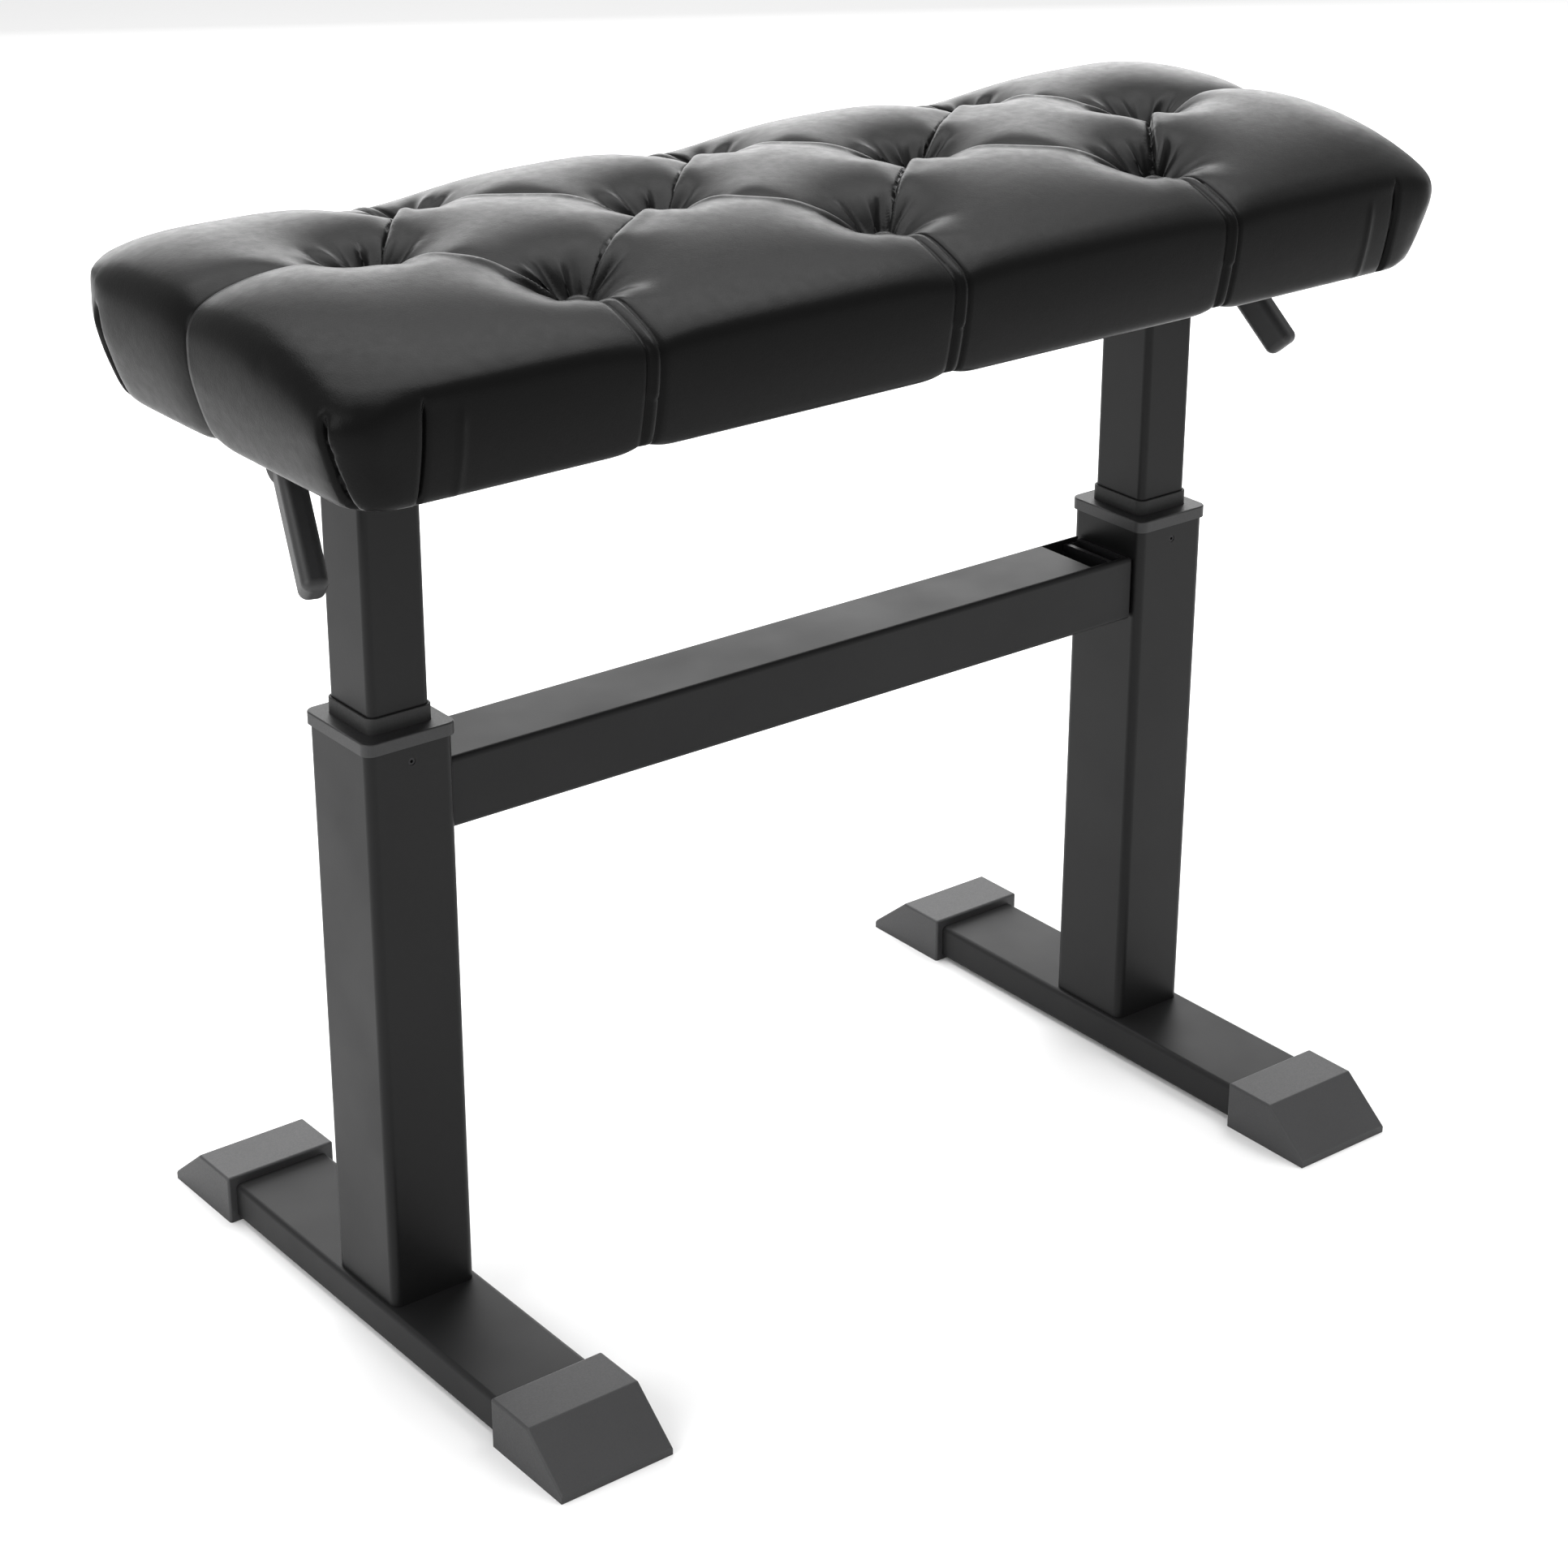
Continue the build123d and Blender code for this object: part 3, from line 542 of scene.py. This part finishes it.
    def stuff(self, seat, settings):
        """Swell the leather as its stuffing does, held at the tufts, the pleats and underneath."""
        before = vertices_of(seat)
        held = self.hold(before)
        group = seat.vertex_groups.new(name="held")
        for weight in sorted(set(held[held > 0])):
            group.add([int(i) for i in np.flatnonzero(held == weight)], float(weight), "REPLACE")
        cloth = seat.modifiers.new("stuffing", "CLOTH")
        cloth.settings.quality = 6
        cloth.settings.mass = 0.3
        cloth.settings.tension_stiffness = 18
        cloth.settings.compression_stiffness = 18
        cloth.settings.shear_stiffness = 8
        cloth.settings.bending_stiffness = 0.8
        cloth.settings.use_pressure = True
        cloth.settings.uniform_pressure_force = settings.pressure
        cloth.settings.vertex_group_mass = group.name
        cloth.settings.pin_stiffness = 1.0
        cloth.settings.effector_weights.gravity = 0
        cloth.collision_settings.use_collision = False
        scene = bpy.context.scene
        for step in range(1, 21):
            scene.frame_set(step)
        evaluated = seat.evaluated_get(bpy.context.evaluated_depsgraph_get())
        after = np.array([v.co[:] for v in evaluated.data.vertices])
        seat.modifiers.remove(cloth)
        scene.frame_set(1)
        move = after - before
        size = np.linalg.norm(move, axis=1, keepdims=True)
        limit = settings.swell * np.tanh(size / settings.swell) / np.maximum(size, 1e-9)
        set_vertices(seat, before + move * limit)
        seat.vertex_groups.clear()

    def hold(self, places):
        """How firmly each point is held while the leather swells, from 0 to 1."""
        line_width = 0.004
        tuft_radius = 0.010
        edge_width = 0.016
        edge_height = 0.036
        sole = 0.008
        held = np.zeros(len(places))
        upper = places[:, 2] > UPPER_FLOOR
        held[self.front_back_lines(places, line_width)] = 0.85
        held[self.end_lines(places, line_width)] = 0.85
        for start, end in DIAGONALS:
            across, along, length = along_segment(places, start, end)
            held[(np.abs(across) < line_width) & (along > 0) & (along < length) & upper] = 0.9
        for x, y in TUFTS:
            radius = np.hypot(places[:, 0] - x, places[:, 1] - y)
            held[(radius < tuft_radius) & upper] = 1
        outside = np.abs(places[:, 1]) > COVER_HIGH.y - edge_width
        long_edge = outside & (places[:, 2] > COVER_HIGH.z - edge_height)
        held[long_edge & (held == 0)] = 0.8
        held[places[:, 2] < COVER_LOW.z + sole] = 1
        return held

    def front_back_lines(self, places, width):
        """Points on the pleats that run from the outer rows over the long edges."""
        found = np.zeros(len(places), bool)
        for x, y in OUTER_TUFTS:
            found |= (np.abs(places[:, 0] - x) < width) & (places[:, 1] * np.sign(y) > abs(y))
        return found

    def end_lines(self, places, width):
        """Points on the pleats that run from the middle row over the ends."""
        return (np.abs(places[:, 1]) < width) & (np.abs(places[:, 0]) > MIDDLE_END)

    def refine(self, seat):
        """Make the mesh finer round the tufts, and cut rows of edges along each pleat and fold."""
        # Where the rows lie beside the line of a single pleat, a box pleat and a fold.
        single = (-0.0060, -0.0026, -0.0010, 0.0, 0.0010, 0.0026, 0.0060)
        box = (-0.0075, -0.0048, -0.0038, -0.0028, -0.001, 0.001, 0.0028, 0.0038, 0.0048, 0.0075)
        folded = (-0.0045, -0.0020, -0.0008, 0.0, 0.0008, 0.0020, 0.0045)
        beside = 0.005
        past = 0.004
        mesh = bmesh.new()
        mesh.from_mesh(seat.data)
        self.refine_tufts(mesh)
        for start, end in DIAGONALS:
            start_v = Vector((*start, 0))
            end_v = Vector((*end, 0))
            direction = (end_v - start_v).normalized()
            side = Vector((-direction.y, direction.x, 0))
            length = (end_v - start_v).length
            for row in single:
                self.cut(mesh, start_v + side * row, side, lambda c: (
                    abs((c - start_v).dot(side) - row) < beside
                    and -past < (c - start_v).dot(direction) < length + past
                    and c.z > UPPER_FLOOR))
        for x, y in OUTER_TUFTS:
            for row in box:
                self.cut(mesh, Vector((x + row, 0, 0)), Vector((1, 0, 0)), lambda c: (
                    abs(c.x - x - row) < beside and c.y * math.copysign(1, y) > abs(y) - past
                    and (c.z > UPPER_FLOOR or abs(c.y) > COVER_HIGH.y - 0.03)))
        for end in (-1, 1):
            for row in single:
                self.cut(mesh, Vector((0, row, 0)), Vector((0, 1, 0)), lambda c: (
                    abs(c.y - row) < beside and c.x * end > MIDDLE_END - past
                    and (c.z > UPPER_FLOOR or abs(c.x) > COVER_HIGH.x - 0.04)))
        for fold in SIDE_FOLDS:
            point, normal, outward = fold["point"], fold["normal"], fold["outward"]
            for row in folded:
                self.cut(mesh, point + normal * row, normal, lambda c: (
                    abs((c - point).dot(normal) - row) < beside and (c - point).dot(outward) > -0.03))
        mesh.to_mesh(seat.data)
        mesh.free()

    def refine_tufts(self, mesh):
        """Split the faces of the top that lie round each tuft."""
        depth = 0.045
        reach = 0.034
        near = set()
        for face in mesh.faces:
            c = face.calc_center_median()
            if c.z > COVER_HIGH.z - depth and any(math.hypot(c.x - x, c.y - y) < reach for x, y in TUFTS):
                near.update(face.edges)
        bmesh.ops.subdivide_edges(mesh, edges=list(near), cuts=1, use_grid_fill=True, smooth=1.0)

    def cut(self, mesh, point, normal, wanted):
        """Bisect the faces that are wanted with a plane."""
        faces = [f for f in mesh.faces if wanted(f.calc_center_median())]
        edges = {e for f in faces for e in f.edges}
        verts = {v for f in faces for v in f.verts}
        bmesh.ops.bisect_plane(mesh, geom=list(verts) + list(edges) + faces, dist=0.0002,
                               plane_co=point, plane_no=normal)

    def wrinkle(self, seat, settings):
        """Gather the leather into small wrinkles that run out from each tuft, most at its far side."""
        ring = 0.013
        end = 0.046
        fade = 0.020
        fan = 150
        far_folds = 9
        near_folds = 5
        near_share = 0.45
        places, normals = vertices_of(seat), normals_of(seat)
        chance = np.random.default_rng(11)
        lift = np.zeros(len(places))
        top = smooth_step((places[:, 2] - (COVER_HIGH.z - 0.055)) / 0.015)
        for x, y in TUFTS:
            radius = np.hypot(places[:, 0] - x, places[:, 1] - y)
            angle = np.arctan2(places[:, 1] - y, places[:, 0] - x)
            rise = (radius / ring) * np.exp(1 - radius / ring)
            rise *= smooth_step((end - radius) / fade)
            for index in range(far_folds):
                spot = math.radians(15 + fan * (index + chance.uniform(0.2, 0.8)) / far_folds)
                width = chance.uniform(0.07, 0.13)
                height = settings.wrinkle * chance.uniform(0.4, 1.0) * (1 if index % 2 else -1)
                stretch = chance.uniform(0.8, 1.3)
                turn = (angle - spot + math.pi) % (2 * math.pi) - math.pi
                lift += height * np.exp(-(turn / width) ** 2) * rise ** stretch * top
            for index in range(near_folds):
                spot = math.radians(195 + fan * (index + chance.uniform(0.2, 0.8)) / near_folds)
                width = chance.uniform(0.14, 0.24)
                height = settings.wrinkle * near_share * chance.uniform(0.4, 1.0) * (1 if index % 2 else -1)
                turn = (angle - spot + math.pi) % (2 * math.pi) - math.pi
                lift += height * np.exp(-(turn / width) ** 2) * rise * top
        set_vertices(seat, places + normals * lift[:, None])

    def press_pleats(self, seat, settings):
        """Press each pleat in, and leave the underside flat."""
        places, normals = vertices_of(seat), normals_of(seat)
        upper = places[:, 2] > UPPER_FLOOR
        push = self.diagonal_push(places, upper, settings)
        push += self.edge_push(places, upper, settings)
        push += self.end_push(places, settings)
        set_vertices(seat, places + normals * (push * self.above_sole(places))[:, None])

    def diagonal_push(self, places, upper, settings):
        """The pleats between the tufts: a fine line, with the pillow behind tucked under the one in front."""
        fade = 0.016
        spare = 0.001
        tuck_reach = 0.011
        roll = 0.004
        push = np.zeros(len(places))
        for start, end in DIAGONALS:
            across, along, length = along_segment(places, start, end)
            if end[0] < start[0]:
                across = -across
            inside = smooth_step((along + spare) / fade) * upper
            inside *= smooth_step((length - along + spare) / fade)
            line = -settings.crease_depth * np.exp(-(across / settings.crease_width) ** 2)
            far = np.where(across > 0, -settings.tuck * np.exp(-across / tuck_reach), 0)
            near = np.where(across < 0, 0.35 * settings.tuck * np.exp(-((across + roll) / roll) ** 2), 0)
            push += inside * (line + far + near)
        return push

    def edge_push(self, places, upper, settings):
        """The box pleats over the long edges: two fine lines with a low ridge between them."""
        half_width = 0.0038
        line_width = 0.0009
        ridge_width = 0.0030
        push = np.zeros(len(places))
        for x, y in OUTER_TUFTS:
            inside = smooth_step((places[:, 1] * np.sign(y) - abs(y) - 0.002) / 0.012)
            across = places[:, 0] - x
            left = 0.8 * np.exp(-((across + half_width) / line_width) ** 2)
            right = np.exp(-((across - half_width) / line_width) ** 2)
            ridge = np.exp(-(across / ridge_width) ** 2)
            edge = np.exp(-((np.abs(places[:, 1]) - COVER_HIGH.y + 0.006) / 0.007) ** 2) * upper
            lines = 0.55 * -settings.crease_depth * (right + left)
            push += inside * (lines + (0.0008 + 0.0012 * edge) * ridge)
        return push

    def end_push(self, places, settings):
        """The pleats over the two ends, with the back half tucked under the front half."""
        tuck_reach = 0.012
        inside = smooth_step((np.abs(places[:, 0]) - MIDDLE_END - 0.001) / 0.010)
        across = places[:, 1]
        line = -1.3 * settings.crease_depth * np.exp(-(across / settings.crease_width) ** 2)
        far = np.where(across > 0, -1.1 * settings.tuck * np.exp(-across / tuck_reach), 0)
        return inside * (line + far)

    def above_sole(self, places):
        """0 on the flat underside and 1 just above it, so that the underside stays flat."""
        return smooth_step((places[:, 2] - COVER_LOW.z - 0.0005) / 0.003)

    def fold_sides(self, seat):
        """Press the corner folds and the upright creases, and draw the lower edge in at the pleats."""
        gather_width = 0.009
        gather_lift = 0.003
        places, normals = vertices_of(seat), normals_of(seat)
        push = np.zeros(len(places))
        for fold in SIDE_FOLDS:
            offset = places - np.array(fold["point"])
            across = offset @ np.array(fold["normal"])
            outside = smooth_step((offset @ np.array(fold["outward"]) + 0.030) / 0.006)
            down = smooth_step((fold["top"] - places[:, 2]) / 0.012)
            line = -fold["depth"] * np.exp(-(across / fold["width"]) ** 2)
            step = np.where(across > 0, fold["step"] * np.exp(-across / 0.012), 0)
            push += outside * down * (line + step)
        places += normals * (push * self.above_sole(places))[:, None]
        low = np.clip(1 - (places[:, 2] - COVER_LOW.z) / 0.020, 0, 1) ** 2
        pull = np.zeros(len(places))
        for x, y in OUTER_TUFTS:
            side = places[:, 1] * np.sign(y) > COVER_HIGH.y - 0.04
            pull = np.maximum(pull, side * np.exp(-((places[:, 0] - x) / gather_width) ** 2))
        for sign in (-1, 1):
            side = places[:, 0] * sign > COVER_HIGH.x - 0.05
            pull = np.maximum(pull, side * np.exp(-(places[:, 1] / gather_width) ** 2))
        places[:, 2] += gather_lift * low * pull
        set_vertices(seat, places)


def side_folds():
    """The folds at the four corners, and beside each of them a fold and a faint crease of the long side."""
    corner_turn = math.radians(8)
    fold_inset = 0.050
    crease_inset = 0.070
    folds = []
    for x_sign in (-1, 1):
        for y_sign, corner in ((-1, FRONT_CORNER), (1, BACK_CORNER)):
            centre = Vector((x_sign * (COVER_HIGH.x - corner), y_sign * (COVER_HIGH.y - corner), 0))
            outward = Vector((x_sign * math.cos(corner_turn), y_sign * math.sin(corner_turn), 0))
            normal = Vector((-outward.y, outward.x, 0)) * x_sign * y_sign
            folds.append({"point": centre + outward * corner, "normal": normal, "outward": outward,
                          "top": COVER_HIGH.z - 0.032, "depth": 0.0065, "width": 0.0022, "step": 0.0012})
            outward = Vector((0, y_sign, 0))
            normal = Vector((-x_sign, 0, 0))
            place = Vector((x_sign * (COVER_HIGH.x - fold_inset), y_sign * COVER_HIGH.y, 0))
            folds.append({"point": place, "normal": normal, "outward": outward,
                          "top": COVER_HIGH.z - 0.028, "depth": 0.0034, "width": 0.0013, "step": -0.0012})
            place = Vector((x_sign * (COVER_HIGH.x - crease_inset), y_sign * COVER_HIGH.y, 0))
            folds.append({"point": place, "normal": normal, "outward": outward,
                          "top": COVER_HIGH.z - 0.036, "depth": -0.0006, "width": 0.0022, "step": 0.0})
    return folds


SIDE_FOLDS = side_folds()


class BENCH_OT_buttons(bpy.types.Operator):
    """Make the leather buttons at the bottom of the tufts"""

    bl_idname = "bench.buttons"
    bl_label = "Tuft buttons"

    def execute(self, context):
        button_radius = 0.0072
        sunk_depth = 0.0015
        bpy.ops.object.select_all(action="DESELECT")
        height = BUTTON_HIGH.z - BUTTON_LOW.z
        for index, (x, y) in enumerate(TUFTS):
            bpy.ops.mesh.primitive_uv_sphere_add(segments=32, ring_count=16, radius=button_radius,
                                                 location=(x, y, BUTTON_LOW.z))
            bpy.ops.transform.resize(value=(1, 1, height / button_radius))
            bpy.context.active_object.name = f"button_{index}"
        buttons = [o for o in bpy.data.objects if o.name.startswith("button_")]
        for button in buttons:
            button.select_set(True)
        bpy.context.view_layer.objects.active = buttons[0]
        bpy.ops.object.join()
        bpy.ops.object.transform_apply(location=True, rotation=True, scale=True)
        bpy.ops.object.shade_smooth()
        piece = bpy.context.active_object
        piece.name = "leather_buttons"
        piece.data.name = "leather_buttons"
        places = vertices_of(piece)
        places[:, 2] = np.maximum(places[:, 2], BUTTON_LOW.z - sunk_depth)
        set_vertices(piece, places)
        piece.data.materials.clear()
        piece.data.materials.append(leather_finish("button leather", context.scene.bench_colour.leather))
        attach(piece, "seat")
        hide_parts("tuft_buttons")
        return {"FINISHED"}


# ---------------------------------------------------------------- finishes of the frame

class BENCH_OT_finishes(bpy.types.Operator):
    """Give each piece of the frame its finish"""

    bl_idname = "bench.finishes"
    bl_label = "Finishes"

    def execute(self, context):
        colours = context.scene.bench_colour
        finishes = {
            "powder_coat": powder_coat("bar coat", colours.bar_coat, 0.50),
            "column_coat": powder_coat("column coat", colours.column_coat, 0.42),
            "moulded_black": moulded_plastic("moulded black", colours.plastic),
            "foot_cap": moulded_plastic("foot cap", colours.rubber, 0.55, 1100.0),
            "steel": bare_metal("zinc plate", (0.55, 0.56, 0.58, 1), 0.32),
            "black_steel": powder_coat("black steel", (0.018, 0.018, 0.019, 1), 0.36),
            "rod_chrome": bare_metal("hard chrome", (0.72, 0.73, 0.75, 1), 0.14),
            "acetal": moulded_plastic("white acetal", (0.70, 0.70, 0.67, 1), 0.45),
            "wiper_rubber": moulded_plastic("wiper rubber", (0.006, 0.006, 0.006, 1), 0.6, 900.0),
            "plywood": plywood_finish("birch plywood"),
            "foam": cloth_finish("foam", (0.66, 0.60, 0.45, 1), (0.80, 0.75, 0.62, 1), 500.0),
            "leatherette": leather_finish("button leather", colours.leather),
            "lining": cloth_finish("lining cloth", (0.012, 0.012, 0.012, 1), (0.028, 0.028, 0.028, 1), 900.0),
            "twine": cloth_finish("twine", (0.42, 0.38, 0.30, 1), (0.62, 0.58, 0.48, 1), 800.0),
        }
        slots = {s["node"]: s["material_slot"] for s in frame["record"]["subparts"]}
        for name, piece in NODES.items():
            piece.data.materials.clear()
            piece.data.materials.append(finishes[slots[name]])
        return {"FINISHED"}


# ---------------------------------------------------------------- stage

class BENCH_OT_stage(bpy.types.Operator):
    """Set up the floor, the lights and the camera"""

    bl_idname = "bench.stage"
    bl_label = "Stage"

    def execute(self, context):
        self.floor()
        self.light("top softbox", place=(0.3, 0.5, 2.6), target=(0, 0, 0.4), size=(2.6, 1.8), power=90)
        self.light("left softbox", place=(-2.4, -0.3, 1.5), target=(0, 0, 0.35), size=(1.2, 1.8), power=27)
        self.light("back panel", place=(1.5, 2.6, 1.3), target=(0, 0, 0.55), size=(3.6, 1.8), power=66)
        self.world(context)
        self.camera(context)
        context.scene.view_settings.view_transform = "Standard"
        return {"FINISHED"}

    def floor(self):
        """A plain pale floor."""
        bpy.ops.object.select_all(action="DESELECT")
        bpy.ops.mesh.primitive_plane_add(size=40, location=(0, 0, 0))
        ground = bpy.context.active_object
        ground.name = "studio_floor"
        material, tree, shader = new_material("pale floor")
        slow = noise(tree, object_coordinates(tree), scale=1.5, detail=2.0)
        vary_colour(tree, shader, slow, (0.90, 0.90, 0.90, 1), (0.93, 0.93, 0.93, 1))
        shader.inputs["Roughness"].default_value = 0.9
        shader.inputs["Specular IOR Level"].default_value = 0.1
        ground.data.materials.append(material)

    def light(self, name, place, target, size, power):
        """A soft rectangular light that faces a point."""
        data = bpy.data.lights.new(name, "AREA")
        data.shape = "RECTANGLE"
        data.size, data.size_y = size
        data.energy = power
        lamp = bpy.data.objects.new(name, data)
        bpy.context.scene.collection.objects.link(lamp)
        lamp.location = place
        lamp.rotation_euler = (Vector(target) - Vector(place)).to_track_quat("-Z", "Y").to_euler()

    def world(self, context):
        """An even pale surround."""
        world = bpy.data.worlds.new("studio")
        context.scene.world = world
        world.use_nodes = True
        background = world.node_tree.nodes["Background"]
        background.inputs["Color"].default_value = (1, 1, 1, 1)
        background.inputs["Strength"].default_value = 0.75

    def camera(self, context):
        """The camera, at its azimuth, elevation and roll."""
        settings = context.scene.bench_stage
        data = bpy.data.cameras.new("camera")
        data.lens = settings.lens
        data.sensor_width = 36
        data.shift_x, data.shift_y = settings.shift
        camera = bpy.data.objects.new("camera", data)
        context.scene.collection.objects.link(camera)
        azimuth, elevation = settings.azimuth, settings.elevation
        forward = Vector((math.sin(azimuth) * math.cos(elevation), math.cos(azimuth) * math.cos(elevation),
                          -math.sin(elevation)))
        right = Vector((math.cos(azimuth), -math.sin(azimuth), 0))
        up = right.cross(forward)
        turned_right = right * math.cos(settings.roll) + up * math.sin(settings.roll)
        turned_up = up * math.cos(settings.roll) - right * math.sin(settings.roll)
        turn = Matrix((turned_right, turned_up, -forward)).transposed()
        camera.matrix_world = Matrix.Translation(Vector(settings.place)) @ turn.to_4x4()
        context.scene.camera = camera


# ---------------------------------------------------------------- add-on

class BENCH_PT_panel(bpy.types.Panel):
    """Lists the steps that make the bench"""

    bl_label = "Piano bench"
    bl_idname = "BENCH_PT_panel"
    bl_space_type = "VIEW_3D"
    bl_region_type = "UI"
    bl_category = "Bench"

    def draw(self, context):
        for operator in OPERATORS:
            self.layout.operator(operator.bl_idname)
        for group in (context.scene.bench_seat, context.scene.bench_colour, context.scene.bench_stage):
            box = self.layout.box()
            for name in group.__annotations__:
                box.prop(group, name)


OPERATORS = (BENCH_OT_finishes, BENCH_OT_seat_leather, BENCH_OT_buttons, BENCH_OT_stage)
GROUPS = {"bench_seat": BenchSeatSettings, "bench_colour": BenchColourSettings,
          "bench_stage": BenchStageSettings}


def register():
    """Register the settings, the operators and the panel."""
    for name, group in GROUPS.items():
        bpy.utils.register_class(group)
        setattr(bpy.types.Scene, name, bpy.props.PointerProperty(type=group))
    for item in (*OPERATORS, BENCH_PT_panel):
        bpy.utils.register_class(item)


def unregister():
    """Remove what register added."""
    for item in (BENCH_PT_panel, *reversed(OPERATORS)):
        bpy.utils.unregister_class(item)
    for name, group in GROUPS.items():
        delattr(bpy.types.Scene, name)
        bpy.utils.unregister_class(group)


def main():
    """Register the add-on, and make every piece."""
    register()
    for operator in OPERATORS:
        group, name = operator.bl_idname.split(".")
        getattr(getattr(bpy.ops, group), name)()


if __name__ == "__main__":
    main()
